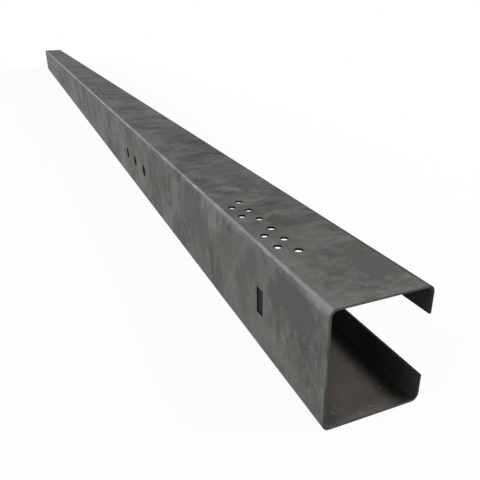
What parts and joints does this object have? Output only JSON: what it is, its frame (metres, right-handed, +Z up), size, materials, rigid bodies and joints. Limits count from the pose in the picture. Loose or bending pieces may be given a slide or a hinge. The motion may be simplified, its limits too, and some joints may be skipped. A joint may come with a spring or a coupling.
{
  "type": "lipped channel section",
  "caption": "Cold-formed lipped channel in mill-scale steel, its web slotted and drilled and its top flange punched with staggered bolt holes.",
  "frame": {"origin": "middle of the underside's bounding rectangle, on the floor", "axes": "+X along the length to the near end, where the hole group and the slot are, +Y from the web to the lips, +Z up"},
  "size_m": [3, 0.085, 0.102],
  "materials": {
    "mill_scale_steel": "hot-rolled strip with its dark mill scale, satin, light rust inside"
  },
  "bodies": {
    "root": {"channel": "mill_scale_steel"}
  },
  "joints": []
}
